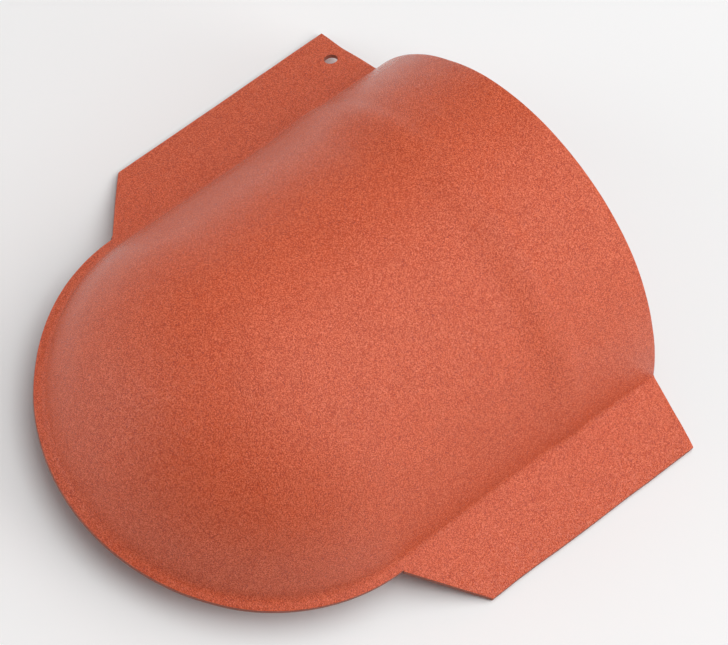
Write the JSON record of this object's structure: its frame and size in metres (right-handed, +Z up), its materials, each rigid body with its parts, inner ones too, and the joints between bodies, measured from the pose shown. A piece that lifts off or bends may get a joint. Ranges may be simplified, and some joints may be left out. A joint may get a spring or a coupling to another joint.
{
  "type": "hip end cap",
  "caption": "Half-round roof hip end cap with a raised collar at its open end, a domed nose, sloped side flanges and one fixing hole.",
  "frame": {"origin": "centre of the bounding box at its lowest level, which is the lower edge of the two side flanges", "axes": "+Y out of the open collar end, +X across the cap, +Z up towards the crown"},
  "size_m": [0.2632, 0.2572, 0.101],
  "materials": {
    "textured_plastic": "thermoformed terracotta plastic sheet with a leather-grain face"
  },
  "bodies": {
    "root": {"hip_end_cap": "textured_plastic"}
  },
  "joints": []
}
